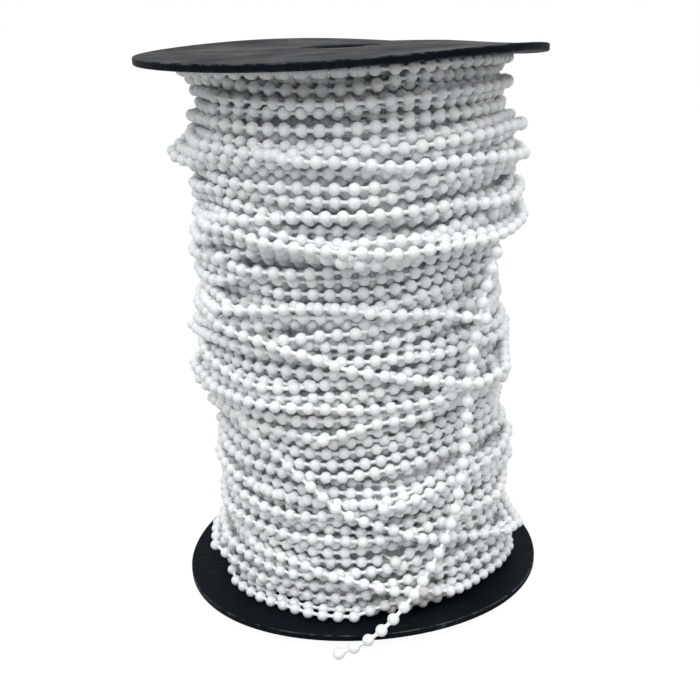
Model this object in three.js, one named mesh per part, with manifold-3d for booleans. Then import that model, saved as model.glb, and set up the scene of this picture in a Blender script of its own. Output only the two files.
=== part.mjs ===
// A reel of plastic ball chain for roller blinds: two thin flanges on a core tube,
// the chain wound between them, and the chain's free end hanging down the front.
// Millimetres, +Z up. The origin is on the reel's axis, at the foot of the lower flange.
import * as THREE from 'three';
import { mergeVertices } from 'three/addons/utils/BufferGeometryUtils.js';
import Module from 'manifold-3d';

const wasm = await Module();
wasm.setup();

// The reel
const reelHeight = 209; // at the hub
const flangeDiameter = 149;
const flangeThickness = 2.6;
const rimBevel = 0.4;
const flatDiameter = 86; // a flange is flat to here and warped from here to its rim
const boreDiameter = 19;
const hubRecessDiameter = 30;
const hubRecessDepth = 0.25;
const tubeDiameter = 45;
const tubeWall = 2;
const spigotLength = 12; // the part of a flange that plugs into the core tube
const fitGap = 0.3; // between pieces that meet

// The warp of the thin flanges, as rises at the rim
const lowerRimRise = 4.4; // front and back of the lower rim stand this high off the floor
const lowerRiseTurn = 6; // degrees that those high places are turned about the axis
const upperRimDrop = 0.7; // the upper rim sags below the hub
const upperTiltX = -1.5; // it is lower on the +X side
const upperTiltY = 0.3; // and higher at the back
const upperFold = -0.5; // and folded over a line from front to back
const upperTwist = -1.7; // and twisted like a propeller
const upperWave = -0.7; // and waved three times round
const warpCurve = 1.5; // the power by which the bent part steepens towards the rim

// The chain
const ballDiameter = 4.5;
const ballPitch = 6;
const rowSpacing = 5; // height from one turn to the next
const windingDiameter = 119.4; // over the tops of the balls, where the heap has no bulge
const grooveDepth = 4.2; // from the top of a ball to the hollow between four balls
const spareTurns = 1; // turns beyond each flange, cut off where the flange lies

// How far the heap of turns bulges, in equal steps from the lower flange to the upper:
// [outwards all round, outwards on the +X side and as much inwards on the other]
const bulges = [
  [1.5, 1], [0.9, 1], [-0.6, 1.2], [0.2, 1], [-0.4, 0], [1.2, -1],
  [-0.5, -0.5], [1.6, 1], [2.4, 3.5], [0.5, 1.5], [-2, 1],
];

// The last strands cross over the rows below. Each is a list of points on the winding:
// [degrees about the axis from +X, share of the winding's height]
const crossingStrands = [
  [[-172, 0.593], [-100, 0.61], [-49, 0.576], [-10, 0.56], [40, 0.58]],
  [[-166, 0.749], [-91, 0.714], [-27, 0.712], [15, 0.734], [60, 0.773]],
  [[-120, 0.873], [-91, 0.86], [-53, 0.838], [-10, 0.822], [30, 0.832]],
  [[-160, 0.586], [-137, 0.573], [-98, 0.52], [-60, 0.466], [-44, 0.453], [30, 0.498], [80, 0.527]],
  [[-172, 0.51], [-138, 0.476], [-100, 0.476]],
  [[-146, 0.399], [-111, 0.301], [-76, 0.19], [-30, 0.109], [10, 0.094], [60, 0.114]],
  [[-150, 0.128], [-110, 0.112], [-70, 0.06], [-44, 0.028], [30, 0.025]],
  [[20, 0.773], [60, 0.724], [100, 0.65], [140, 0.63], [165, 0.645]],
  [[40, 0.399], [80, 0.37], [110, 0.291], [150, 0.256], [175, 0.271]],
];
const strandRise = 2.6; // how far a crossing strand stands out of the rows
const strandWidth = 2.6; // the height over which it falls to a third of that

// The route of the chain's free end, from under the turns down to the floor
const tailRoute = [
  [50.6, -44.2, 141.0], [49.0, -45.6, 136.0], [45.7, -48.5, 125.7], [43.0, -50.7, 114.0],
  [40.9, -52.2, 102.0], [39.6, -53.1, 89.5], [39.0, -53.7, 77.0], [37.6, -54.6, 65.0],
  [35.7, -56.0, 53.0], [32.6, -57.8, 42.0], [27.8, -60.8, 32.0], [21.6, -64.9, 23.2],
  [14.4, -70.3, 16.0], [5.4, -75.8, 9.8], [-2.6, -77.9, 5.4], [-10.8, -78.9, 2.5],
];
const tailSides = 10;
const tailSteps = 15;

// Facets
const reelSegments = 44;
const tubeSegments = 32;

const rimRadius = flangeDiameter / 2;
const flatRadius = flatDiameter / 2;
const midRadius = (flatRadius + rimRadius) / 2;
const boreRadius = boreDiameter / 2;
const recessRadius = hubRecessDiameter / 2;
const tubeRadius = tubeDiameter / 2;
const spigotRadius = tubeRadius - tubeWall - fitGap;
const tubeBottom = flangeThickness + fitGap;
const tubeTop = reelHeight - flangeThickness - fitGap;
const windingHeight = tubeTop - tubeBottom;

const reelPlastic = new THREE.MeshStandardMaterial({ color: 0x1c2026, roughness: 0.5, metalness: 0 });
const chainPlastic = new THREE.MeshStandardMaterial({ color: 0xe9ebec, roughness: 0.35, metalness: 0 });

// A profile of [radius, height] pairs turned about +Z
function turned(profile, segments) {
  const points = profile.map(([radius, height]) => new THREE.Vector2(radius, height));
  return new THREE.LatheGeometry(points, segments).rotateX(Math.PI / 2);
}

// How far out a place is on the warped part of a flange: 0 where it is flat, 1 at the rim
function rimShare(x, y) {
  return Math.max(0, (Math.hypot(x, y) - flatRadius) / (rimRadius - flatRadius));
}

function lowerWarp(x, y) {
  const angle = Math.atan2(y, x) - THREE.MathUtils.degToRad(lowerRiseTurn);
  return lowerRimRise * Math.sin(angle) ** 2 * rimShare(x, y) ** warpCurve;
}

function upperWarp(x, y) {
  const angle = Math.atan2(y, x);
  const share = rimShare(x, y);
  const tilt = upperTiltX * Math.cos(angle) + upperTiltY * Math.sin(angle) - upperRimDrop;
  const fold = upperFold * Math.cos(2 * angle) + upperTwist * Math.sin(2 * angle);
  const wave = upperWave * Math.sin(3 * angle);
  return tilt * share + (fold + wave) * share ** warpCurve;
}

// Moves each vertex up by the warp at its place
function warped(geometry, warp) {
  const position = geometry.getAttribute('position');
  for (let i = 0; i < position.count; i += 1) {
    const x = position.getX(i);
    const y = position.getY(i);
    position.setZ(i, position.getZ(i) + warp(x, y, position.getZ(i)));
  }
  geometry.computeVertexNormals();
  return geometry;
}

// One moulded flange, outer face down: disc, bevelled rim, hub recess, bore and spigot
function flangeShape() {
  const spigotEnd = flangeThickness + spigotLength;
  return turned([
    [boreRadius, hubRecessDepth],
    [recessRadius, hubRecessDepth],
    [recessRadius, 0],
    [flatRadius, 0],
    [midRadius, 0],
    [rimRadius - rimBevel, 0],
    [rimRadius, rimBevel],
    [rimRadius, flangeThickness - rimBevel],
    [rimRadius - rimBevel, flangeThickness],
    [midRadius, flangeThickness],
    [flatRadius, flangeThickness],
    [spigotRadius, flangeThickness],
    [spigotRadius, spigotEnd],
    [boreRadius, spigotEnd],
    [boreRadius, hubRecessDepth],
  ], reelSegments);
}

function lowerFlange() {
  return warped(flangeShape(), lowerWarp);
}

function upperFlange() {
  const shape = flangeShape().rotateX(Math.PI).translate(0, 0, reelHeight);
  return warped(shape, upperWarp);
}

function coreTube() {
  return turned([
    [tubeRadius - tubeWall, tubeBottom],
    [tubeRadius, tubeBottom],
    [tubeRadius, tubeTop],
    [tubeRadius - tubeWall, tubeTop],
    [tubeRadius - tubeWall, tubeBottom],
  ], tubeSegments);
}

// A smooth step from 0 to 1
function eased(share) {
  return (1 - Math.cos(Math.PI * share)) / 2;
}

// The bulge of the heap at an angle and a share of the winding's height
function bulgeAt(angle, share) {
  const place = THREE.MathUtils.clamp(share, 0, 1) * (bulges.length - 1);
  const below = Math.min(Math.floor(place), bulges.length - 2);
  const blend = eased(place - below);
  const [roundBelow, sideBelow] = bulges[below];
  const [roundAbove, sideAbove] = bulges[below + 1];
  const round = THREE.MathUtils.lerp(roundBelow, roundAbove, blend);
  const side = THREE.MathUtils.lerp(sideBelow, sideAbove, blend);
  return round + side * Math.cos(angle);
}

// The height of a crossing strand at an angle, or nothing where it isn't on top
function strandHeight(strand, degrees) {
  for (let k = 1; k < strand.length; k += 1) {
    const [fromAngle, fromShare] = strand[k - 1];
    const [toAngle, toShare] = strand[k];
    if (degrees >= fromAngle && degrees <= toAngle) {
      const blend = eased((degrees - fromAngle) / (toAngle - fromAngle));
      return tubeBottom + windingHeight * THREE.MathUtils.lerp(fromShare, toShare, blend);
    }
  }
  return null;
}

// How much the crossing strands raise the surface at an angle and a height
function riseAt(angle, height) {
  let rise = 0;
  const degrees = THREE.MathUtils.euclideanModulo(THREE.MathUtils.radToDeg(angle), 360);
  for (const strand of crossingStrands) {
    for (const turn of [0, -360]) {
      const middle = strandHeight(strand, degrees + turn);
      if (middle !== null) {
        rise = Math.max(rise, strandRise * Math.exp(-(((height - middle) / strandWidth) ** 2)));
      }
    }
  }
  return rise;
}

// A point on the outermost turns, sunk by a depth below the tops of the balls
function windingPoint(angle, height, depth) {
  const share = (height - tubeBottom) / windingHeight;
  const radius = windingDiameter / 2 + bulgeAt(angle, share) + riseAt(angle, height) - depth;
  return [radius * Math.cos(angle), radius * Math.sin(angle), height];
}

// The outside of the helix of turns: each ball is a peak between four hollows
function helixSurface() {
  const ballsPerTurn = Math.round((Math.PI * windingDiameter) / ballPitch);
  const turns = Math.ceil(windingHeight / rowSpacing) + 2 * spareTurns;
  const start = tubeBottom - spareTurns * rowSpacing - rowSpacing;
  const ballAngle = (2 * Math.PI) / ballsPerTurn;
  const climb = rowSpacing / ballsPerTurn;
  const vertices = [];
  const faces = [];
  const addVertex = (point) => vertices.push(...point) / 3 - 1;

  const hollows = [];
  for (let i = 0; i <= (turns + 1) * ballsPerTurn; i += 1) {
    hollows.push(addVertex(windingPoint(i * ballAngle, start + i * climb, grooveDepth)));
  }
  for (let i = 0; i < turns * ballsPerTurn; i += 1) {
    const height = start + (i + 0.5) * climb + rowSpacing / 2;
    const top = addVertex(windingPoint((i + 0.5) * ballAngle, height, 0));
    const corners = [hollows[i], hollows[i + 1], hollows[i + ballsPerTurn + 1], hollows[i + ballsPerTurn]];
    corners.forEach((corner, k) => faces.push(corner, corners[(k + 1) % corners.length], top));
  }

  const lowCentre = addVertex([0, 0, start]);
  const highCentre = addVertex([0, 0, start + (turns + 1) * rowSpacing]);
  const lastRow = turns * ballsPerTurn;
  for (let i = 0; i < ballsPerTurn; i += 1) {
    faces.push(lowCentre, hollows[i + 1], hollows[i]);
    faces.push(highCentre, hollows[lastRow + i], hollows[lastRow + i + 1]);
  }
  faces.push(lowCentre, hollows[0], hollows[ballsPerTurn]);
  faces.push(highCentre, hollows[lastRow + ballsPerTurn], hollows[lastRow]);
  return { vertices, faces };
}

// The room for the chain: between the warped flanges and outside the core tube
function roomBetweenFlanges() {
  const innerRadius = tubeRadius + fitGap;
  const outerRadius = rimRadius - rimBevel;
  const room = turned([
    [innerRadius, tubeBottom],
    [flatRadius, tubeBottom],
    [midRadius, tubeBottom],
    [outerRadius, tubeBottom],
    [outerRadius, tubeTop],
    [midRadius, tubeTop],
    [flatRadius, tubeTop],
    [innerRadius, tubeTop],
    [innerRadius, tubeBottom],
  ], reelSegments);
  const halfHeight = reelHeight / 2;
  return warped(room, (x, y, z) => (z < halfHeight ? lowerWarp(x, y) : upperWarp(x, y)));
}

function solidOf(vertices, faces) {
  return new wasm.Manifold(new wasm.Mesh({
    numProp: 3,
    vertProperties: new Float32Array(vertices),
    triVerts: new Uint32Array(faces),
  }));
}

function solidOfGeometry(geometry) {
  const bare = geometry.clone();
  bare.deleteAttribute('normal');
  bare.deleteAttribute('uv');
  const merged = mergeVertices(bare);
  return solidOf(merged.getAttribute('position').array, merged.getIndex().array);
}

function geometryOfSolid(solid) {
  const mesh = solid.getMesh();
  const geometry = new THREE.BufferGeometry();
  geometry.setAttribute('position', new THREE.BufferAttribute(new Float32Array(mesh.vertProperties), 3));
  geometry.setIndex(new THREE.BufferAttribute(new Uint32Array(mesh.triVerts), 1));
  geometry.computeVertexNormals();
  return geometry;
}

// The wound chain: the helix of turns, trimmed to the room that the reel gives it
function chainWinding() {
  const { vertices, faces } = helixSurface();
  return geometryOfSolid(solidOf(vertices, faces).intersect(solidOfGeometry(roomBetweenFlanges())));
}

// The chain's free end, as a plain cord of the balls' diameter
function chainTail() {
  const route = new THREE.CatmullRomCurve3(tailRoute.map((point) => new THREE.Vector3(...point)));
  const section = new THREE.Shape();
  for (let k = 0; k < tailSides; k += 1) {
    const angle = (2 * Math.PI * k) / tailSides;
    const [x, y] = [Math.cos(angle) * (ballDiameter / 2), Math.sin(angle) * (ballDiameter / 2)];
    if (k === 0) section.moveTo(x, y);
    else section.lineTo(x, y);
  }
  section.closePath();
  return new THREE.ExtrudeGeometry(section, { steps: tailSteps, extrudePath: route, curveSegments: 1 });
}

function piece(name, geometry, material) {
  const mesh = new THREE.Mesh(geometry, material.clone());
  mesh.name = name;
  return mesh;
}

const chainReel = new THREE.Group();
chainReel.add(
  piece('lower_flange', lowerFlange(), reelPlastic),
  piece('upper_flange', upperFlange(), reelPlastic),
  piece('core_tube', coreTube(), reelPlastic),
  piece('chain_winding', chainWinding(), chainPlastic),
  piece('chain_tail', chainTail(), chainPlastic),
);

export default chainReel;
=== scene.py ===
"""A reel of plastic ball chain for roller blinds: the looks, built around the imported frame."""

import math

import bpy
import numpy as np
from bpy.props import FloatProperty, FloatVectorProperty, IntProperty, PointerProperty
from mathutils import Matrix, Vector


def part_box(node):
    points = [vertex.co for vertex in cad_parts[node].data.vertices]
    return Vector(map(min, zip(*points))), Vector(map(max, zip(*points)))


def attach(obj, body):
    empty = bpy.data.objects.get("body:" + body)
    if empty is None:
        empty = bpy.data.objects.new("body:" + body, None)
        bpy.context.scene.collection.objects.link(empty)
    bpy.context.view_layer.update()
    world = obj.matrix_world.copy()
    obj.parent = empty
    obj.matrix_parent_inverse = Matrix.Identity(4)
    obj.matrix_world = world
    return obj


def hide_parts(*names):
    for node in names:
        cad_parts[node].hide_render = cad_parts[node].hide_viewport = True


bl_info = {
    "name": "Blind chain reel",
    "version": (1, 0, 0),
    "blender": (4, 5, 0),
    "location": "View3D > Sidebar > Chain Reel",
    "description": "Finishes a reel of plastic ball chain around its fixed frame",
    "category": "Object",
}

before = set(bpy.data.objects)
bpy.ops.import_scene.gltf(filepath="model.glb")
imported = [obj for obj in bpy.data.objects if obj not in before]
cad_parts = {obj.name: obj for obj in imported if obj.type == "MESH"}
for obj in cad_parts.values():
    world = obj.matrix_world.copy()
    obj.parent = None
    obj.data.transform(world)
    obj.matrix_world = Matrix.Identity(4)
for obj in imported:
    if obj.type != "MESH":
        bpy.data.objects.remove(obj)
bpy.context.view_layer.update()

MM = 0.001
TURN = 2 * math.pi
BODY = "root"

# The reel, as in the frame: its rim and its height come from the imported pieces
FLANGE_LOW, FLANGE_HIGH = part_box("lower_flange")
TUBE_LOW, TUBE_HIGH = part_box("core_tube")
RIM_RADIUS = (FLANGE_HIGH.x - FLANGE_LOW.x) / 2
TUBE_RADIUS = (TUBE_HIGH.x - TUBE_LOW.x) / 2
FIT_GAP = 0.3 * MM
FLANGE_THICKNESS = TUBE_LOW.z - FIT_GAP
REEL_HEIGHT = TUBE_HIGH.z + FIT_GAP + FLANGE_THICKNESS
FLAT_RADIUS = 43 * MM
BORE_RADIUS = 9.5 * MM
RECESS_RADIUS = 15 * MM
RECESS_DEPTH = 0.25 * MM
TUBE_WALL = 2 * MM
SPIGOT_RADIUS = TUBE_RADIUS - TUBE_WALL - FIT_GAP
SPIGOT_LENGTH = 12 * MM
SOFT_EDGE = 0.25 * MM  # bevel of the edges at the bore, the recess and the spigot
FACE_RINGS = 22  # rings of points across each face, so that it can warp

# The warp of the thin flanges, as in the frame: rises at the rim, and the power they grow with
LOWER_RIM_RISE = 4.4 * MM
LOWER_RISE_TURN = math.radians(6)
UPPER_RIM_DROP = 0.7 * MM
UPPER_TILT_X = -1.5 * MM
UPPER_TILT_Y = 0.3 * MM
UPPER_FOLD = -0.5 * MM
UPPER_TWIST = -1.7 * MM
UPPER_WAVE = -0.7 * MM
WARP_CURVE = 1.5

# The chain
BALL_RADIUS = 2.25 * MM
BALL_PITCH = 6 * MM
CORD_RADIUS = 0.68 * MM
CORD_NECK = 1.9

# How far out the heap of turns reaches: height, then its radius on the -X and +X side, in mm
HEAP_OUTLINE = (
    (3, 62.0, 66.0), (20, 62.5, 64.0), (27, 60.0, 60.0), (34, 59.0, 61.5), (45, 59.0, 65.5),
    (56, 61.0, 65.0), (70, 59.8, 60.5), (80, 59.0, 62.0), (84, 62.0, 62.3), (93, 63.8, 62.0),
    (104, 64.4, 60.2), (110, 63.8, 59.6), (117, 64.4, 59.8), (122, 64.0, 57.6), (128, 62.0, 61.5),
    (137, 58.8, 60.2), (142, 62.0, 62.0), (149, 63.0, 65.5), (162, 56.2, 69.5), (169, 58.5, 64.0),
    (174, 63.2, 63.2), (179, 63.2, 64.2), (187, 59.2, 62.8), (193, 54.6, 61.5), (199, 58.0, 60.5),
    (206, 58.0, 60.5),
)

# The core: one ring under the layers that are wound ball by ball
CORE_DEPTH = 15.6 * MM  # from the outside of the heap to what the innermost layer rests on
CORE_COVER = 2.2 * MM  # how far the ring stands out past that, among the innermost balls
CORE_FACETS = 120
CORE_ROWS = 60
CORE_FACE_RADIUS = 50 * MM  # where the flanges' warp is taken for its two ends
CORE_CLEARANCE = 0.2 * MM  # from its ends to the flanges
SHOULDER = 7 * MM  # how far it draws in under the upper flange, over as much of its height

# The layers of turns, from the innermost out
WOUND_LAYERS = 3
LAYER_STEP = 4.2 * MM  # from the outside of one layer to the next
SWAYS = 5  # swings that are added up, which sway whole turns up and down
SWAY_SIZE = 1.4 * MM
STRAYS = (2, 4, 12)  # how often a turn leaves its groove, for each layer
STRAY_SIZE = 3.4 * MM
GROOVE_SEARCH = 3.0 * MM  # how far up or down a turn looks for a groove
STRETCH_PLACES = 140  # balls and stretches of cord that are laid at a time
FLANGE_CLEARANCE = 0.1 * MM

# The extra turns in the low places of each layer, and the grid that finds these
FILLING_TURNS = (2, 5, 5)
FILLING_SEARCH = 2.4 * MM
FILLING_POINTS = 9  # points of its route, each a little off in height
SURVEY_ROUND = 24
SURVEY_STEP = 2 * MM
SURVEY_LOW, SURVEY_HIGH = 12 * MM, 200 * MM
SURVEY_CLIMB = 4  # most steps that an extra turn climbs or falls
DEEPEST_HOLLOW, HIGHEST_HUMP = 5 * MM, 2 * MM  # a place past these counts as one at them

# How a strand is laid over the turns
STRAND_SEARCH = 1.2 * MM  # how far up or down it looks for a groove
STRAND_STAY = 0.15  # how strongly it keeps to where it was aimed
STRAND_STEP = 0.03  # radians from one point of its smooth route to the next
END_SINK = 6 * MM  # how far its ends dive between the turns
END_PLACES = 8  # balls and stretches of cord that this takes

# The free end and the groove that it lies in
TAIL_ANGLE = -TURN / 8
TAIL_DENT = 1.6 * MM
TAIL_DENT_WIDTH = 0.22  # radians from the groove's middle to where it is a third as deep
TAIL_DENT_TOP = 143 * MM
TAIL_PRESS = 1.4 * MM  # its radius for the strands that cross it, which press into it
TAIL_LEAVES_HEAP = 40 * MM  # below this height the crossing strands pass behind it
TAIL_STEP = 1 * MM

# The last strands, laid over the turns: degrees about the axis from +X, height in mm
CROSSING_STRANDS = (
    ((-172, 123.5), (-155, 124.5), (-131, 125.4), (-100, 126.9), (-77, 124.5), (-49, 119.9), (-10, 117),
     (40, 121)),
    ((-166, 155), (-140, 154), (-115, 149.7), (-91, 148), (-60, 148.4), (-27, 147.5), (15, 152), (60, 160)),
    ((-120, 180.2), (-108, 178.5), (-91, 177.6), (-75, 175), (-53, 173.1), (-10, 170), (30, 172)),
    ((-160, 122), (-137, 119.3), (-113, 114.2), (-98, 108.5), (-79, 102.5), (-60, 97.5), (-44, 95),
     (-20, 98), (30, 104), (80, 110)),
    ((-172, 106.5), (-161, 104.7), (-138, 99.6), (-119, 98.2), (-100, 99.6)),
    ((-146, 84), (-129, 76.5), (-111, 64), (-95, 51), (-76, 41.5), (-55, 32.7), (-30, 25), (10, 22),
     (60, 26)),
    ((-150, 29), (-130, 27), (-110, 25.7), (-89, 20.9), (-70, 15), (-44, 8.5), (-10, 7), (30, 8)),
    ((20, 160), (60, 150), (100, 135), (140, 131), (165, 134)),
    ((40, 84), (80, 78), (110, 62), (150, 55), (175, 58)),
)

# The route of the free end, as in the frame, in metres
TAIL_ROUTE = (
    (0.0506, -0.0442, 0.1410), (0.0490, -0.0456, 0.1360), (0.0457, -0.0485, 0.1257),
    (0.0430, -0.0507, 0.1140), (0.0409, -0.0522, 0.1020), (0.0396, -0.0531, 0.0895),
    (0.0390, -0.0537, 0.0770), (0.0376, -0.0546, 0.0650), (0.0357, -0.0560, 0.0530),
    (0.0326, -0.0578, 0.0420), (0.0278, -0.0608, 0.0320), (0.0216, -0.0649, 0.0232),
    (0.0144, -0.0703, 0.0160), (0.0054, -0.0758, 0.0098), (-0.0026, -0.0779, 0.0054),
    (-0.0108, -0.0789, 0.0025),
)

# The camera, matched to the photograph's rim ellipses and ball rows: pixels, metres and radians
IMAGE_SIZE = 700
FOCAL_PIXELS = 994.7
AXIS_BELOW_CENTRE = 64.9
SENSOR_MM = 36.0
CAMERA_PLACE = Vector((-0.0027, -0.3840, 0.2217))
CAMERA_PITCH = math.radians(22.24)
CAMERA_ROLL = math.radians(2.64)

# The lamps: name, place and side, in metres; their powers are in the stage's settings
LAMPS = (
    ("Key", (-0.35, -0.65, 1.00), 1.0),
    ("Fill", (0.65, -0.60, 0.95), 1.2),
    ("Back", (0.1, 0.9, 0.8), 0.9),
)

# The floor reflects as a matt grey and is seen as nearly pure white
FLOOR_REACH = 40.0
FLOOR_GREY = 0.40
FLOOR_WHITE = 1.16
FLOOR_SEEN_WHITE = 0.82

# The ceiling's light sets in between these, where 0 is a level direction and 1 straight up
CEILING_FROM, CEILING_FULL = 0.3, 0.9


class ReelSettings(bpy.types.PropertyGroup):
    """Sizes and colour of the black reel."""

    rim_round: FloatProperty(
        name="Rim rounding", description="Radius of the rounded edges of a flange's rim",
        default=0.5 * MM, unit="LENGTH")
    segments: IntProperty(
        name="Facets round", description="Facets around a flange", default=192, min=24)
    colour: FloatVectorProperty(
        name="Reel colour", description="Colour of the moulded reel", subtype="COLOR",
        default=(0.0045, 0.0065, 0.0098), min=0, max=1)


class ChainSettings(bpy.types.PropertyGroup):
    """Sizes and colour of the ball chain and how it is wound."""

    ball_radius: FloatProperty(
        name="Ball radius", description="Radius of one ball", default=BALL_RADIUS, unit="LENGTH")
    pitch: FloatProperty(
        name="Ball pitch", description="Distance from one ball to the next",
        default=BALL_PITCH, unit="LENGTH")
    cord_radius: FloatProperty(
        name="Cord radius", description="Radius of the cord between the balls",
        default=CORD_RADIUS, unit="LENGTH")
    neck: FloatProperty(
        name="Neck", description="How much thicker the cord is at the middle of a ball",
        default=CORD_NECK, min=1)
    row_spacing: FloatProperty(
        name="Row spacing", description="Height from one turn to the next", default=4.55 * MM, unit="LENGTH")
    seed: IntProperty(name="Seed", description="Seed of the winding's small disorder", default=7)
    colour: FloatVectorProperty(
        name="Chain colour", description="Colour of the balls", subtype="COLOR",
        default=(0.88, 0.897, 0.907), min=0, max=1)


class StageSettings(bpy.types.PropertyGroup):
    """Lights and floor."""

    key_power: FloatProperty(name="Key light", description="Power of the lamp on the left", default=8.3)
    fill_power: FloatProperty(name="Fill light", description="Power of the lamp on the right", default=5.1)
    back_power: FloatProperty(name="Back light", description="Power of the lamp behind", default=1.6)
    surroundings: FloatProperty(
        name="Surroundings", description="Strength of the light all round", default=0.30)
    ceiling: FloatProperty(name="Ceiling", description="Strength of the light from above", default=1.0)


class Socket:
    """A shader socket that takes part in Python arithmetic: each operator adds a Math node."""

    def __init__(self, nodes, socket):
        self.nodes = nodes
        self.socket = socket

    def _math(self, operation, first, second):
        return self.nodes.add("ShaderNodeMath", {"operation": operation}, {0: first, 1: second})

    def __add__(self, other):
        return self._math("ADD", self, other)

    def __radd__(self, other):
        return self._math("ADD", other, self)

    def __sub__(self, other):
        return self._math("SUBTRACT", self, other)

    def __rsub__(self, other):
        return self._math("SUBTRACT", other, self)

    def __mul__(self, other):
        return self._math("MULTIPLY", self, other)

    def __rmul__(self, other):
        return self._math("MULTIPLY", other, self)


class Nodes:
    """Adds nodes to one node tree and joins them up. Sockets that share a name go by their number."""

    def __init__(self, tree):
        self.tree = tree
        tree.nodes.clear()

    def add(self, kind, settings=None, inputs=None, output=0):
        """Adds a node, sets its settings first and then its inputs, and gives one of its outputs."""
        node = self.tree.nodes.new(kind)
        for name, value in (settings or {}).items():
            setattr(node, name, value)
        for name, value in (inputs or {}).items():
            self.put(value, node.inputs[name])
        return Socket(self, node.outputs[output])

    def put(self, value, target):
        if isinstance(value, Socket):
            self.tree.links.new(value.socket, target)
        else:
            target.default_value = value

    def finish(self, shader, kind="ShaderNodeOutputMaterial"):
        """Adds the tree's output, with this shader as its surface."""
        output = self.tree.nodes.new(kind)
        self.tree.links.new(shader.socket, output.inputs["Surface"])

    def place(self):
        """The place on a piece, in metres."""
        return self.add("ShaderNodeTexCoord", output="Object")

    def attribute(self, name):
        """A number that the mesh holds for each point."""
        return self.add("ShaderNodeAttribute", {"attribute_name": name}, output="Fac")

    def noise(self, place, scale, detail, roughness):
        return self.add("ShaderNodeTexNoise", {}, {
            "Vector": place, "Scale": scale, "Detail": detail, "Roughness": roughness})

    def streaks(self, place, turn, length, width, start):
        """Fine scratches that all run one way."""
        drawn = self.add("ShaderNodeMapping", {"vector_type": "TEXTURE"}, {
            "Vector": place, "Rotation": (0, 0, turn), "Scale": (length, width, length)})
        return self.ramp(self.noise(drawn, scale=1.0, detail=2, roughness=0.5), start, start + 0.1)

    def ramp(self, value, low, high):
        """0 below one value and 1 above the other."""
        return self.add("ShaderNodeMapRange", {"interpolation_type": "SMOOTHSTEP"}, {
            "Value": value, "From Min": low, "From Max": high})

    def seen_directly(self):
        """1 for what the camera sees, also in a reflection or through something clear."""
        rays = self.tree.nodes.new("ShaderNodeLightPath")
        camera, glossy, through = (Socket(self, rays.outputs[name]) for name in (
            "Is Camera Ray", "Is Glossy Ray", "Is Transmission Ray"))
        return camera + glossy + through

    def mix(self, factor, first, second):
        """A mix of two colours."""
        return self.add(
            "ShaderNodeMix", {"data_type": "RGBA"}, {0: factor, 6: first, 7: second}, output=2)

    def bump(self, strength, distance, height):
        """The normals of a surface with this fine relief."""
        return self.add("ShaderNodeBump", {}, {
            "Strength": strength, "Distance": distance, "Height": height})


def material(name):
    """A new material and its empty tree."""
    made = bpy.data.materials.new(name)
    made.use_nodes = True
    return made, Nodes(made.node_tree)


def finish_material(nodes, settings):
    """The Principled shader of a material, with its output."""
    nodes.finish(nodes.add("ShaderNodeBsdfPrincipled", {}, settings))


def reel_plastic(settings):
    """Satin black moulded plastic: fine grain, scratches and specks, and rim edges painted paler, partly as
    wear and partly as a painted highlight.
    """
    made, nodes = material("Reel plastic")
    place = nodes.place()
    cloud = nodes.noise(place, scale=38, detail=4, roughness=0.6)
    grain = nodes.noise(place, scale=2600, detail=2, roughness=0.5)
    scratches = nodes.streaks(place, turn=0.25, length=14 * MM, width=0.8 * MM, start=0.64)
    scratches = scratches + nodes.streaks(place, turn=-0.9, length=9 * MM, width=0.7 * MM, start=0.68)
    scuffs = scratches * nodes.ramp(cloud, low=0.42, high=0.60)
    specks = nodes.ramp(nodes.noise(place, scale=700, detail=2, roughness=0.6), low=0.70, high=0.78)
    # Paler rim edges: part wear, part a painted highlight where the rim's rounded edge catches the light.
    wear_and_highlight_patches = nodes.ramp(nodes.noise(place, scale=260, detail=3, roughness=0.7), low=0.40, high=0.62)
    rubbed_and_highlit_edges = nodes.attribute("edge") * wear_and_highlight_patches
    black = (*settings.colour, 1)
    dusty = (0.024, 0.028, 0.033, 1)
    # The paler colour of scuffs and specks, and of the painted highlight on the rim edges.
    pale = (0.11, 0.12, 0.13, 1)
    tint = nodes.mix(nodes.ramp(cloud, low=0.35, high=0.75) * 0.22, black, dusty)
    colour = nodes.mix(scuffs * 0.3 + specks * 0.25 + rubbed_and_highlit_edges * 0.5, tint, pale)
    dullness = nodes.ramp(cloud, low=0.25, high=0.75) * 0.22 + 0.38
    finish_material(nodes, {
        "Base Color": colour,
        "Roughness": dullness + scuffs * 0.15,
        "Specular IOR Level": 0.013,
        "Normal": nodes.bump(0.35, 0.08 * MM, grain + cloud * 3 + scuffs * 0.8),
    })
    return made


def chain_plastic(settings):
    """White moulded balls on a slightly duller white cord; each ball has its own faint tone."""
    made, nodes = material("Chain plastic")
    place = nodes.place()
    tone = nodes.attribute("tone")
    cord = nodes.attribute("cord")
    cloud = nodes.noise(place, scale=45, detail=3, roughness=0.55)
    white = (*settings.colour, 1)
    cord_white = (0.89, 0.90, 0.90, 1)
    cool = tuple(c * k for c, k in zip(settings.colour, (0.86, 0.90, 0.91))) + (1,)
    warm = tuple(c * k for c, k in zip(settings.colour, (1.0, 0.985, 0.94))) + (1,)
    base = nodes.mix(tone * 0.75, white, cool)
    base = nodes.mix(nodes.ramp(cloud, low=0.5, high=0.8) * 0.5, base, warm)
    base = nodes.mix(cord, base, cord_white)
    grain = nodes.noise(place, scale=1500, detail=2, roughness=0.5)
    dullness = nodes.ramp(cloud, low=0.2, high=0.8) * 0.10 + 0.30
    finish_material(nodes, {
        "Base Color": base,
        "Roughness": dullness + cord * 0.25,
        "Specular IOR Level": 0.5,
        "Subsurface Weight": 0.12,
        "Subsurface Scale": 1.2 * MM,
        "Normal": nodes.bump(0.12, 0.05 * MM, grain),
    })
    return made


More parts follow.
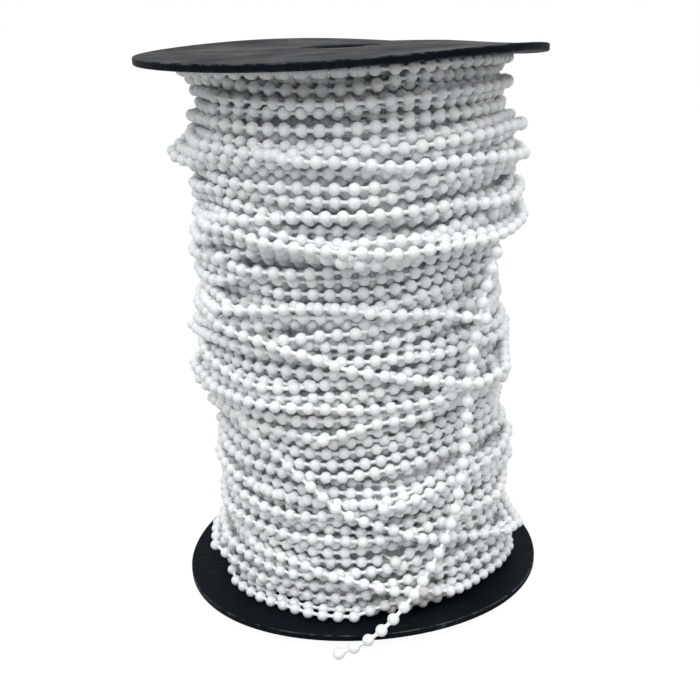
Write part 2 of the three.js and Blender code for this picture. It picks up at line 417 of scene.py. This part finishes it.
def new_mesh_object(name, vertices, faces, edges=()):
    mesh = bpy.data.meshes.new(name)
    mesh.from_pydata([tuple(v) for v in vertices], [tuple(e) for e in edges], [tuple(f) for f in faces])
    mesh.update()
    made = bpy.data.objects.new(name, mesh)
    bpy.context.scene.collection.objects.link(made)
    return made


def dress(piece, finish):
    """Gives a piece its material and its body."""
    piece.data.materials.clear()
    piece.data.materials.append(finish)
    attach(piece, BODY)
    return piece


def smooth(piece, angle=math.radians(30)):
    piece.data.shade_smooth()
    piece.data.set_sharp_from_angle(angle=angle)


# The warp of the flanges, for arrays of places

def rim_share(x, y):
    return np.maximum(0.0, (np.hypot(x, y) - FLAT_RADIUS) / (RIM_RADIUS - FLAT_RADIUS))


def lower_warp(x, y):
    angle = np.arctan2(y, x) - LOWER_RISE_TURN
    return LOWER_RIM_RISE * np.sin(angle) ** 2 * rim_share(x, y) ** WARP_CURVE


def upper_warp(x, y):
    angle = np.arctan2(y, x)
    share = rim_share(x, y)
    tilt = UPPER_TILT_X * np.cos(angle) + UPPER_TILT_Y * np.sin(angle) - UPPER_RIM_DROP
    bend = UPPER_FOLD * np.cos(2 * angle) + UPPER_TWIST * np.sin(2 * angle) + UPPER_WAVE * np.sin(3 * angle)
    return tilt * share + bend * share ** WARP_CURVE


def rounded_corner(centre, radius, start, steps=4):
    """Points of a quarter round about a centre, from one angle on, anticlockwise."""
    angles = [start + math.pi / 2 * k / steps for k in range(steps + 1)]
    return [(centre[0] + radius * math.cos(a), centre[1] + radius * math.sin(a)) for a in angles]


def flange_profile(rim_round):
    """The outline of one flange as radius and distance from its outer face, anticlockwise."""
    face = FLANGE_THICKNESS
    soft = SOFT_EDGE
    out = [(BORE_RADIUS, RECESS_DEPTH + soft), (BORE_RADIUS + soft, RECESS_DEPTH)]
    out += [(RECESS_RADIUS - soft, RECESS_DEPTH), (RECESS_RADIUS, RECESS_DEPTH - soft)]
    out += [(RECESS_RADIUS, soft), (RECESS_RADIUS + soft, 0)]
    radii = np.linspace(RECESS_RADIUS + 2 * soft, RIM_RADIUS - 2 * rim_round, FACE_RINGS)
    out += [(r, 0) for r in radii]
    out += rounded_corner((RIM_RADIUS - rim_round, rim_round), rim_round, -math.pi / 2)
    out += rounded_corner((RIM_RADIUS - rim_round, face - rim_round), rim_round, 0)
    inner = np.linspace(RIM_RADIUS - 2 * rim_round, SPIGOT_RADIUS + 2 * soft, FACE_RINGS)
    out += [(r, face) for r in inner]
    out += [(SPIGOT_RADIUS + soft, face), (SPIGOT_RADIUS, face + soft)]
    out += [(SPIGOT_RADIUS, face + SPIGOT_LENGTH - soft), (SPIGOT_RADIUS - soft, face + SPIGOT_LENGTH)]
    out += [(BORE_RADIUS + soft, face + SPIGOT_LENGTH), (BORE_RADIUS, face + SPIGOT_LENGTH - soft)]
    return np.array(out)


def rim_corners(profile, rim_round):
    """1 on the rounded corners of a rim and 0 elsewhere, for each point of the outline."""
    radius, depth = profile.T
    beside = np.minimum(depth, FLANGE_THICKNESS - depth)
    within = 0.99 * rim_round
    rounded = (radius > RIM_RADIUS - within) & (beside < within)
    return rounded.astype(np.float32)


def lathed(profile, segments):
    """A closed outline turned about +Z: vertices and quads that face outwards."""
    angles = np.arange(segments) * TURN / segments
    rings = np.stack([
        np.outer(profile[:, 0], np.cos(angles)),
        np.outer(profile[:, 0], np.sin(angles)),
        np.repeat(profile[:, 1:2], segments, 1)], 2)
    count = len(profile)
    faces = []
    for i in range(count):
        above = (i + 1) % count
        for k in range(segments):
            beside = (k + 1) % segments
            faces.append((i * segments + k, i * segments + beside,
                          above * segments + beside, above * segments + k))
    return rings.reshape(-1, 3), faces


def flange(name, settings, finish, turned_over, warp):
    profile = flange_profile(settings.rim_round)
    points, faces = lathed(profile, settings.segments)
    if turned_over:
        points[:, 2] = REEL_HEIGHT - points[:, 2]
        faces = [face[::-1] for face in faces]
    points[:, 2] += warp(points[:, 0], points[:, 1])
    piece = new_mesh_object(name, points, faces)
    # The rim corners, which the material paints paler for wear and as a painted highlight.
    edge = np.repeat(rim_corners(profile, settings.rim_round), settings.segments)
    piece.data.attributes.new("edge", "FLOAT", "POINT").data.foreach_set("value", edge)
    smooth(piece, math.radians(50))
    dress(piece, finish)
    return piece


# The heap of turns

def heap_radius(angle, height):
    """How far out the outermost balls reach at an angle and a height."""
    heights, left, right = (np.array(column) * MM for column in zip(*HEAP_OUTLINE))
    on_left = np.interp(height, heights, left)
    on_right = np.interp(height, heights, right)
    turn = (np.asarray(angle) - TAIL_ANGLE + math.pi) % TURN - math.pi
    under_tail = np.exp(-(turn / TAIL_DENT_WIDTH) ** 2)
    dent = TAIL_DENT * under_tail * (np.asarray(height) < TAIL_DENT_TOP)
    return (on_left + on_right) / 2 + (on_right - on_left) / 2 * np.cos(angle) - dent


def core_radius(angle, height):
    """The surface that the innermost layer rests on."""
    return heap_radius(angle, height) - CORE_DEPTH


def heap_floor(angle, radius):
    """The lower flange's upper face under a place on the heap."""
    return FLANGE_THICKNESS + lower_warp(radius * np.cos(angle), radius * np.sin(angle))


def heap_ceiling(angle, radius):
    """The upper flange's lower face over a place on the heap."""
    return REEL_HEIGHT - FLANGE_THICKNESS + upper_warp(radius * np.cos(angle), radius * np.sin(angle))


class Heap:
    """What is wound so far: each ball or stretch of cord as angle, height, radius from the axis and
    own radius, and sorted into cells so that a new one finds its neighbours."""

    CELLS_ROUND = 54
    CELL_HEIGHT = 7 * MM
    ROOM = 40000  # most balls and stretches of cord that it holds

    def __init__(self):
        self.spots = np.zeros((self.ROOM, 4))
        self.count = 0
        self.cells = {}

    def cell(self, angle, height):
        across = int(angle % TURN / TURN * self.CELLS_ROUND) % self.CELLS_ROUND
        return across, int(height // self.CELL_HEIGHT)

    def add(self, spots):
        for spot in spots:
            self.spots[self.count] = spot
            self.cells.setdefault(self.cell(spot[0], spot[1]), []).append(self.count)
            self.count += 1

    def near(self, angle, height):
        across, up = self.cell(angle, height)
        found = []
        for beside in (-1, 0, 1):
            for above in (-1, 0, 1):
                found += self.cells.get(((across + beside) % self.CELLS_ROUND, up + above), ())
        return self.spots[found]

    def rest(self, angle, heights, size):
        """How far out a thing of this radius comes to rest at an angle, for each of several heights."""
        resting = core_radius(angle, heights) + size
        spots = self.near(angle, heights[len(heights) // 2])
        if len(spots):
            turn = spots[:, 0] - angle
            across = spots[:, 2] * np.sin(turn)
            reach = (spots[:, 3] + size) ** 2 - across ** 2
            left = reach[:, None] - (heights[None, :] - spots[:, 1:2]) ** 2
            out = (spots[:, 2] * np.cos(turn))[:, None] + np.sqrt(np.maximum(left, 0))
            resting = np.maximum(resting, np.where(left > 0, out, 0).max(0))
        return resting


def groove_path(rests, offsets, stiffness, stay):
    """The offsets of the cheapest way along a strand: low places, few bends, near where it was aimed."""
    cost = rests / MM + stay * (offsets / MM) ** 2
    step = stiffness * ((offsets[:, None] - offsets[None, :]) / MM) ** 2
    best = cost[0]
    choices = []
    for here in cost[1:]:
        ways = best[None, :] + step
        choice = ways.argmin(1)
        choices.append(choice)
        best = ways[np.arange(len(offsets)), choice] + here
    path = [int(best.argmin())]
    for choice in reversed(choices):
        path.append(int(choice[path[-1]]))
    return offsets[path[::-1]]


def pulled_taut(rests, bend, slack, passes=40):
    """A strand under tension never dips below the straight line between its neighbours."""
    radii = rests.copy()
    for _ in range(passes):
        chord = (radii[:-2] + radii[2:]) / 2 * bend - slack
        radii[1:-1] = np.maximum(radii[1:-1], chord)
    return radii


class Strand:
    """A chain as it is laid on the heap, stretch by stretch. Every second place is a ball, and the
    others are cord."""

    OFFSETS = 13  # heights that are tried for each place
    STIFFNESS = 3.0  # how much a bend counts against lying low
    SLACK = 0.02 * MM  # how far it may sag between two neighbours
    SMOOTHING = np.array([1, 6, 15, 20, 15, 6, 1]) / 64

    def __init__(self, heap, chain, window, stay=0.03):
        self.heap = heap
        self.chain = chain
        self.offsets = np.linspace(-window, window, self.OFFSETS)
        self.stay = stay
        self.shift = None
        self.radius = None

    def lay(self, angles, heights):
        """Lays one stretch, a whole number of pitches long, and gives its angles, heights and radii."""
        sizes = np.where(np.arange(len(angles)) % 2 == 0, self.chain.ball_radius, self.chain.cord_radius)
        rests = np.stack([self.heap.rest(a, h + self.offsets, s) for a, h, s in zip(angles, heights, sizes)])
        if self.shift is not None:
            rests[0] += self.STIFFNESS * (self.offsets - self.shift) ** 2 / MM
        shift = groove_path(rests, self.offsets, self.STIFFNESS, self.stay)
        beyond = len(self.SMOOTHING) // 2
        padded = np.pad(shift, beyond, mode="edge")
        if self.shift is not None:
            padded[:beyond] = self.shift
        shift = np.convolve(padded, self.SMOOTHING, mode="valid")
        guess = heap_radius(angles, heights + shift)
        low = heap_floor(angles, guess) + self.chain.ball_radius + FLANGE_CLEARANCE
        high = heap_ceiling(angles, guess) - self.chain.ball_radius - FLANGE_CLEARANCE
        settled = np.clip(heights + shift, low, high)
        rests = np.array([self.heap.rest(a, np.array([h]), s)[0] for a, h, s in zip(angles, settled, sizes)])
        before = [] if self.radius is None else [self.radius]
        bend = math.cos(np.diff(angles).mean())
        radii = pulled_taut(np.concatenate([before, rests]), bend, self.SLACK)[len(before):]
        self.heap.add(np.stack([angles, settled, radii, sizes], 1))
        self.shift = shift[-1]
        self.radius = radii[-1]
        return angles, settled, radii


def in_space(angles, heights, radii):
    """Places round the axis as X, Y and Z."""
    return np.stack([radii * np.cos(angles), radii * np.sin(angles), heights], 1)


def waves(rng, count, size):
    """A smooth random swing over angle and height, as a function: one to three waves a turn each,
    tilted by up to 40 radians a metre."""
    rounds = rng.integers(1, 4, count)
    tilts = rng.uniform(-40, 40, count)
    starts = rng.uniform(0, TURN, count)
    sizes = rng.uniform(0.4, 1.0, count) * size / math.sqrt(count)

    def swing(angle, height):
        return sum(s * np.sin(n * angle + t * height + p)
                   for s, n, t, p in zip(sizes, rounds, tilts, starts))

    return swing


def stray(rng, turns, count, reach):
    """Places along a layer where a turn strays from its groove, as a function of the turn."""
    at = rng.uniform(1, turns - 1, count)
    width = rng.uniform(0.08, 0.3, count)
    size = rng.choice([-1, 1], count) * rng.uniform(0.5, 1.0, count) * reach

    def drift(turn):
        return sum(s * np.exp(-((turn - a) / w) ** 2) for a, w, s in zip(at, width, size))

    return drift


def wind_layer(heap, layer, chain, rng):
    """One layer of turns from flange to flange. Each layer climbs the other way round."""
    depth = (WOUND_LAYERS - 1 - layer) * LAYER_STEP
    upwards = layer % 2 == 0
    radius = heap_radius(0.0, REEL_HEIGHT / 2) - depth - chain.ball_radius
    room = REEL_HEIGHT - 2 * FLANGE_THICKNESS - 2 * chain.ball_radius
    turns = room / chain.row_spacing
    swing = waves(rng, SWAYS, SWAY_SIZE)
    drift = stray(rng, turns, STRAYS[layer], STRAY_SIZE)
    strand = Strand(heap, chain, GROOVE_SEARCH)
    rows = []
    turn = 0.0
    swell = 0.0
    start = rng.uniform(0, TURN)
    while turn < turns:
        angles, heights, expected = [], [], []
        for _ in range(STRETCH_PLACES):
            angle = start + turn * TURN
            share = min(turn / turns, 1.0)
            level = share if upwards else 1 - share
            low = heap_floor(angle, radius) + chain.ball_radius
            high = heap_ceiling(angle, radius) - chain.ball_radius
            height = low + (high - low) * level + swing(angle, level * room) + drift(turn)
            here = heap_radius(angle, height) - depth - chain.ball_radius
            angles.append(angle)
            heights.append(height)
            expected.append(here)
            turn += chain.pitch / 2 / (here + swell) / TURN
        laid = strand.lay(np.array(angles), np.array(heights))
        swell = float((laid[2] - expected).mean())
        rows.append(in_space(*laid))
    return np.concatenate(rows)[:-1]


def fill_hollows(heap, layer, chain, rng):
    """Extra turns where the heap is still lowest, each a little over once round."""
    depth = (WOUND_LAYERS - 1 - layer) * LAYER_STEP + chain.ball_radius
    around = np.arange(SURVEY_ROUND) * TURN / SURVEY_ROUND
    heights = np.arange(SURVEY_LOW, SURVEY_HIGH, SURVEY_STEP).reshape(-1, 2)
    lines = []
    for _ in range(FILLING_TURNS[layer]):
        missing = np.array([
            np.concatenate([heap_radius(a, h) - depth - heap.rest(a, h, chain.ball_radius) for h in heights])
            for a in around])
        lowest = (-1.0, 0, 0, 0)
        for first in range(0, len(around), 3):
            places = (first + np.arange(len(around))) % len(around)
            for rise in range(-SURVEY_CLIMB, SURVEY_CLIMB + 1):
                climb = np.round(np.linspace(0, rise, len(around))).astype(int)
                for row in range(SURVEY_CLIMB, heights.size - SURVEY_CLIMB):
                    hollow = missing[places, row + climb].clip(-HIGHEST_HUMP, DEEPEST_HOLLOW).mean()
                    lowest = max(lowest, (hollow, first, row, rise))
        _, first, row, rise = lowest
        turned = np.linspace(0, rng.uniform(1.0, 1.25), FILLING_POINTS)
        bends = rng.normal(0, 1.0, len(turned))
        start = heights.ravel()[row]
        route = [(math.degrees(around[first] + t * TURN), (start + t * rise * SURVEY_STEP) / MM + b)
                 for t, b in zip(turned, bends)]
        lines.append(lay_strand(heap, route, chain, FILLING_SEARCH))
    return lines


def catmull_rom(points, step):
    """A smooth line through the points, by cubic pieces, sampled about every step of its length."""
    points = np.array(points)
    ends = np.vstack([2 * points[0] - points[1], points, 2 * points[-1] - points[-2]])
    line = []
    for a, b, c, d in zip(ends[:-3], ends[1:-2], ends[2:-1], ends[3:]):
        count = max(2, int(np.linalg.norm(c - b) / step))
        for t in np.arange(count) / count:
            line.append(0.5 * (2 * b + (c - a) * t + (2 * a - 5 * b + 4 * c - d) * t ** 2
                               + (3 * b - a - 3 * c + d) * t ** 3))
    line.append(points[-1])
    return np.array(line)


def evenly_spaced(line, pitch):
    """Points about this far apart from one end of a line to the other, an odd number of them."""
    lengths = np.concatenate([[0], np.cumsum(np.linalg.norm(np.diff(line, axis=0), axis=1))])
    places = np.linspace(0, lengths[-1], 2 * round(lengths[-1] / pitch / 2) + 1)
    return np.stack([np.interp(places, lengths, line[:, k]) for k in range(line.shape[1])], 1)


def lay_strand(heap, route, chain, window=STRAND_SEARCH):
    """A strand laid over the turns: it rests on what lies below, and its ends dive between the turns."""
    aimed = catmull_rom([(math.radians(a), h * MM) for a, h in route], STRAND_STEP)
    rests = np.array([heap.rest(a, np.array([h]), chain.ball_radius)[0] for a, h in aimed])
    rests = pulled_taut(rests, math.cos(np.diff(aimed[:, 0]).mean()), 0)
    walked = np.column_stack([in_space(aimed[:, 0], aimed[:, 1], rests), aimed])
    lengths = np.concatenate([[0], np.cumsum(np.linalg.norm(np.diff(walked[:, :3], axis=0), axis=1))])
    places = np.linspace(0, lengths[-1], 2 * round(lengths[-1] / chain.pitch) + 1)
    angles = np.interp(places, lengths, aimed[:, 0])
    heights = np.interp(places, lengths, aimed[:, 1])
    angles, heights, radii = Strand(heap, chain, window, stay=STRAND_STAY).lay(angles, heights)
    from_end = np.minimum(np.arange(len(radii)), np.arange(len(radii))[::-1])
    radii = radii - END_SINK * np.clip(1 - from_end / END_PLACES, 0, 1) ** 1.5
    return in_space(angles, heights, radii)


def ball_chain_tree():
    """Geometry Nodes: a ball at every point marked as one, and a cord that thickens in the balls."""
    tree = bpy.data.node_groups.new("Ball chain", "GeometryNodeTree")
    face = tree.interface
    face.new_socket("Geometry", in_out="INPUT", socket_type="NodeSocketGeometry")
    for name, kind, value in (
            ("Ball radius", "NodeSocketFloat", BALL_RADIUS), ("Ball detail", "NodeSocketInt", 2),
            ("Cord radius", "NodeSocketFloat", CORD_RADIUS), ("Cord sides", "NodeSocketInt", 6),
            ("Neck", "NodeSocketFloat", CORD_NECK), ("Seed", "NodeSocketInt", 1)):
        face.new_socket(name, in_out="INPUT", socket_type=kind).default_value = value
    face.new_socket("Material", in_out="INPUT", socket_type="NodeSocketMaterial")
    face.new_socket("Geometry", in_out="OUTPUT", socket_type="NodeSocketGeometry")
    nodes = Nodes(tree)
    given = tree.nodes.new("NodeGroupInput")
    inputs = {s.name: Socket(nodes, s) for s in given.outputs if s.name}
    line = nodes.add("GeometryNodeMeshToCurve", {}, {"Mesh": inputs["Geometry"]})
    on_ball = nodes.add("GeometryNodeInputNamedAttribute", {"data_type": "FLOAT"}, {"Name": "ball"})
    ball = nodes.add("GeometryNodeMeshIcoSphere", {}, {
        "Radius": inputs["Ball radius"], "Subdivisions": inputs["Ball detail"]})
    ball = nodes.add("GeometryNodeSetShadeSmooth", {}, {"Geometry": ball})
    turned = nodes.add("FunctionNodeRandomValue", {"data_type": "FLOAT_VECTOR"}, {
        "Max": (TURN, TURN, TURN), "Seed": inputs["Seed"]})
    tone = nodes.add("FunctionNodeRandomValue", {"data_type": "FLOAT"}, {"Seed": inputs["Seed"]}, output=1)
    balls = nodes.add("GeometryNodeInstanceOnPoints", {}, {
        "Points": line, "Selection": on_ball, "Instance": ball, "Rotation": turned})
    balls = nodes.add("GeometryNodeStoreNamedAttribute", {"data_type": "FLOAT", "domain": "INSTANCE"}, {
        "Geometry": balls, "Name": "tone", "Value": tone})
    ring = nodes.add("GeometryNodeCurvePrimitiveCircle", {}, {
        "Resolution": inputs["Cord sides"], "Radius": inputs["Cord radius"]})
    cord = nodes.add("GeometryNodeCurveToMesh", {}, {
        "Curve": line, "Profile Curve": ring, "Scale": on_ball * (inputs["Neck"] - 1) + 1, "Fill Caps": True})
    cord = nodes.add("GeometryNodeStoreNamedAttribute", {"data_type": "FLOAT", "domain": "POINT"}, {
        "Geometry": cord, "Name": "cord", "Value": 1.0})
    join = tree.nodes.new("GeometryNodeJoinGeometry")
    for part in (cord, balls):
        tree.links.new(part.socket, join.inputs[0])
    whole = nodes.add("GeometryNodeRealizeInstances", {}, {"Geometry": Socket(nodes, join.outputs[0])})
    whole = nodes.add("GeometryNodeSetMaterial", {}, {"Geometry": whole, "Material": inputs["Material"]})
    result = tree.nodes.new("NodeGroupOutput")
    tree.links.new(whole.socket, result.inputs[0])
    return tree


def chain_piece(name, lines, chain, finish, detail=2, sides=6, seed=1):
    """A piece of chain along lines. Each starts at a ball's middle, as does every second point of it."""
    vertices, edges, on_ball = [], [], []
    for line in lines:
        first = len(vertices)
        vertices += list(line)
        edges += [(first + k, first + k + 1) for k in range(len(line) - 1)]
        on_ball += [1.0 - k % 2 for k in range(len(line))]
    source = new_mesh_object(name + "_line", vertices, [], edges)
    source.data.attributes.new("ball", "FLOAT", "POINT").data.foreach_set("value", on_ball)
    tree = bpy.data.node_groups.get("Ball chain") or ball_chain_tree()
    maker = source.modifiers.new("Ball chain", "NODES")
    maker.node_group = tree
    values = {"Ball radius": chain.ball_radius, "Ball detail": detail, "Cord radius": chain.cord_radius,
              "Cord sides": sides, "Neck": chain.neck, "Seed": seed, "Material": finish}
    for item in tree.interface.items_tree:
        if item.in_out == "INPUT" and item.name in values:
            maker[item.identifier] = values[item.name]
    graph = bpy.context.evaluated_depsgraph_get()
    mesh = bpy.data.meshes.new_from_object(
        source.evaluated_get(graph), preserve_all_data_layers=True, depsgraph=graph)
    bpy.data.objects.remove(source)
    piece = bpy.data.objects.new(name, mesh)
    bpy.context.scene.collection.objects.link(piece)
    dress(piece, finish)
    return piece


def shared_material(name, make, settings):
    """A material that several pieces share, made when the first of them asks for it."""
    return bpy.data.materials.get(name) or make(settings)


def tail_line():
    """The free end's route as a smooth line."""
    return catmull_rom(TAIL_ROUTE, TAIL_STEP)


class CHAINREEL_OT_stage(bpy.types.Operator):
    """Makes the camera, the lamps, the floor and the surroundings"""

    bl_idname = "chainreel.stage"
    bl_label = "Stage"

    def execute(self, context):
        scene = context.scene
        settings = scene.chainreel_stage
        self.make_camera(scene)
        self.make_floor()
        self.make_surroundings(scene, settings)
        for name, place, side in LAMPS:
            self.make_lamp(name, place, side, getattr(settings, name.lower() + "_power"))
        scene.view_settings.view_transform = "Standard"
        return {"FINISHED"}

    def make_camera(self, scene):
        data = bpy.data.cameras.new("Camera")
        data.sensor_width = SENSOR_MM
        data.lens = FOCAL_PIXELS / IMAGE_SIZE * SENSOR_MM
        data.shift_y = AXIS_BELOW_CENTRE / IMAGE_SIZE
        data.clip_start = 0.01
        data.clip_end = 200
        ahead = Vector((0, math.cos(CAMERA_PITCH), -math.sin(CAMERA_PITCH)))
        right = Vector((1, 0, 0))
        above = right.cross(ahead)
        roll = Matrix.Rotation(CAMERA_ROLL, 3, ahead)
        axes = Matrix((roll @ right, roll @ above, -ahead)).transposed()
        camera = bpy.data.objects.new("Camera", data)
        camera.matrix_world = Matrix.Translation(CAMERA_PLACE) @ axes.to_4x4()
        scene.collection.objects.link(camera)
        scene.camera = camera

    def make_lamp(self, name, place, side, power):
        """A square lamp that shines on the middle of the reel."""
        aim = Vector((0, 0, REEL_HEIGHT / 2))
        data = bpy.data.lights.new(name, "AREA")
        data.size = side
        data.energy = power
        lamp = bpy.data.objects.new(name, data)
        lamp.location = place
        lamp.rotation_euler = (aim - Vector(place)).to_track_quat("-Z", "Y").to_euler()
        bpy.context.scene.collection.objects.link(lamp)

    def make_floor(self):
        far = FLOOR_REACH
        corners = [(-far, -far, 0), (far, -far, 0), (far, far, 0), (-far, far, 0)]
        floor = new_mesh_object("floor", corners, [(0, 1, 2, 3)])
        made, nodes = material("Floor")
        seen = nodes.seen_directly()
        grey = (FLOOR_GREY, FLOOR_GREY, FLOOR_GREY, 1)
        matt = nodes.add("ShaderNodeBsdfDiffuse", {}, {"Color": grey})
        white = nodes.add("ShaderNodeEmission", {}, {"Color": (1, 1, 1, 1), "Strength": FLOOR_WHITE})
        nodes.finish(nodes.add("ShaderNodeMixShader", {}, {0: seen * FLOOR_SEEN_WHITE, 1: matt, 2: white}))
        floor.data.materials.append(made)

    def make_surroundings(self, scene, settings):
        world = bpy.data.worlds.new("Surroundings")
        world.use_nodes = True
        nodes = Nodes(world.node_tree)
        seen = nodes.seen_directly()
        direction = nodes.add("ShaderNodeTexCoord", output="Generated")
        upwards = nodes.add("ShaderNodeSeparateXYZ", {}, {"Vector": direction}, output="Z")
        overhead = nodes.ramp(upwards, CEILING_FROM, CEILING_FULL)
        light = overhead * (settings.ceiling - settings.surroundings) + settings.surroundings
        strength = seen * (1 - light) + light
        background = nodes.add("ShaderNodeBackground", {}, {"Color": (1, 1, 1, 1), "Strength": strength})
        nodes.finish(background, "ShaderNodeOutputWorld")
        scene.world = world


class CHAINREEL_OT_tail(bpy.types.Operator):
    """Makes the chain's free end, hanging down the front to the floor"""

    bl_idname = "chainreel.tail"
    bl_label = "Free end"

    def execute(self, context):
        chain = context.scene.chainreel_chain
        finish = shared_material("Chain plastic", chain_plastic, chain)
        line = tail_line()
        places = evenly_spaced(line, chain.pitch / 2)
        piece = chain_piece("free_end", [places], chain, finish, detail=3, sides=10, seed=3)
        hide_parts("chain_tail")
        return {"FINISHED"}


class CHAINREEL_OT_reel(bpy.types.Operator):
    """Makes the two warped flanges and finishes the core tube"""

    bl_idname = "chainreel.reel"
    bl_label = "Reel"

    def execute(self, context):
        settings = context.scene.chainreel_reel
        finish = shared_material("Reel plastic", reel_plastic, settings)
        lower = flange("lower_disc", settings, finish, False, lower_warp)
        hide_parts("lower_flange")
        upper = flange("upper_disc", settings, finish, True, upper_warp)
        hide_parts("upper_flange")
        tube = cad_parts["core_tube"]
        tube.data.materials.clear()
        tube.data.materials.append(finish)
        return {"FINISHED"}


class CHAINREEL_OT_winding(bpy.types.Operator):
    """Winds the outer layers of chain on the heap and lays the crossing strands over them"""

    bl_idname = "chainreel.winding"
    bl_label = "Wound chain"

    def execute(self, context):
        chain = context.scene.chainreel_chain
        finish = shared_material("Chain plastic", chain_plastic, chain)
        rng = np.random.default_rng(chain.seed)
        heap = Heap()
        core = self.make_core(finish)
        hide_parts("chain_winding")
        for layer in range(WOUND_LAYERS):
            places = wind_layer(heap, layer, chain, rng)
            hidden = layer == 0
            detail, sides = (1, 3) if hidden else (2, 5)
            half = len(places) // 4 * 2
            for part, line in (("a", places[:half + 1]), ("b", places[half:])):
                piece = chain_piece(
                    f"turns_{layer + 1}{part}", [line], chain, finish, detail, sides, seed=layer + 10)
                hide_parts("chain_winding")
            filling = fill_hollows(heap, layer, chain, rng)
            piece = chain_piece(
                f"filling_{layer + 1}", filling, chain, finish, detail, sides, seed=layer + 14)
            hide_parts("chain_winding")
        self.add_tail(heap, chain)
        strands = [lay_strand(heap, strand, chain) for strand in CROSSING_STRANDS]
        piece = chain_piece("crossing_strands", strands, chain, finish, sides=6, seed=21)
        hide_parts("chain_winding")
        return {"FINISHED"}

    def add_tail(self, heap, chain):
        """Puts the free end on the heap before the crossing strands, which pass over it."""
        places = evenly_spaced(tail_line(), chain.pitch / 2)
        x, y, z = places[places[:, 2] > TAIL_LEAVES_HEAP].T
        heap.add(np.stack([np.arctan2(y, x), z, np.hypot(x, y), np.full(len(z), TAIL_PRESS)], 1))

    def make_core(self, finish):
        """The wound chain under the modelled layers, as one ring."""
        segments, rows = CORE_FACETS, CORE_ROWS
        angles = np.arange(segments) * TURN / segments
        low = heap_floor(angles, CORE_FACE_RADIUS) + CORE_CLEARANCE
        high = heap_ceiling(angles, CORE_FACE_RADIUS) - CORE_CLEARANCE
        points = []
        for row in range(rows + 1):
            height = low + (high - low) * (row / rows)
            under_flange = np.clip(1 - (high - height) / SHOULDER, 0, 1)
            out = core_radius(angles, height) + CORE_COVER - SHOULDER * under_flange
            points += list(in_space(angles, height, out))
        inner = TUBE_RADIUS + FIT_GAP
        low_ring = len(points)
        for height in (FLANGE_THICKNESS + FIT_GAP, REEL_HEIGHT - FLANGE_THICKNESS - FIT_GAP):
            points += [(inner * math.cos(a), inner * math.sin(a), height) for a in angles]
        faces = []
        for k in range(segments):
            beside = (k + 1) % segments
            for row in range(rows):
                faces.append((row * segments + k, row * segments + beside,
                              (row + 1) * segments + beside, (row + 1) * segments + k))
            top = rows * segments
            high_ring = low_ring + segments
            faces.append((top + k, top + beside, high_ring + beside, high_ring + k))
            faces.append((high_ring + k, high_ring + beside, low_ring + beside, low_ring + k))
            faces.append((low_ring + k, low_ring + beside, beside, k))
        piece = new_mesh_object("wound_core", points, faces)
        smooth(piece)
        return dress(piece, finish)


class CHAINREEL_PT_panel(bpy.types.Panel):
    """Lists the steps that make the reel"""

    bl_idname = "CHAINREEL_PT_panel"
    bl_label = "Chain Reel"
    bl_space_type = "VIEW_3D"
    bl_region_type = "UI"
    bl_category = "Chain Reel"

    def draw(self, context):
        for step in STEPS:
            self.layout.operator(step.bl_idname)
        for name in ("chainreel_reel", "chainreel_chain", "chainreel_stage"):
            settings = getattr(context.scene, name)
            for value in settings.__annotations__:
                self.layout.prop(settings, value)


STEPS = (CHAINREEL_OT_stage, CHAINREEL_OT_tail, CHAINREEL_OT_reel, CHAINREEL_OT_winding)
CLASSES = (ReelSettings, ChainSettings, StageSettings, *STEPS, CHAINREEL_PT_panel)


def register():
    for made in CLASSES:
        bpy.utils.register_class(made)
    bpy.types.Scene.chainreel_reel = PointerProperty(type=ReelSettings)
    bpy.types.Scene.chainreel_chain = PointerProperty(type=ChainSettings)
    bpy.types.Scene.chainreel_stage = PointerProperty(type=StageSettings)


def unregister():
    del bpy.types.Scene.chainreel_stage
    del bpy.types.Scene.chainreel_chain
    del bpy.types.Scene.chainreel_reel
    for made in reversed(CLASSES):
        bpy.utils.unregister_class(made)


def main():
    register()
    bpy.ops.chainreel.stage()
    bpy.ops.chainreel.tail()
    bpy.ops.chainreel.reel()
    bpy.ops.chainreel.winding()


if __name__ == "__main__":
    main()
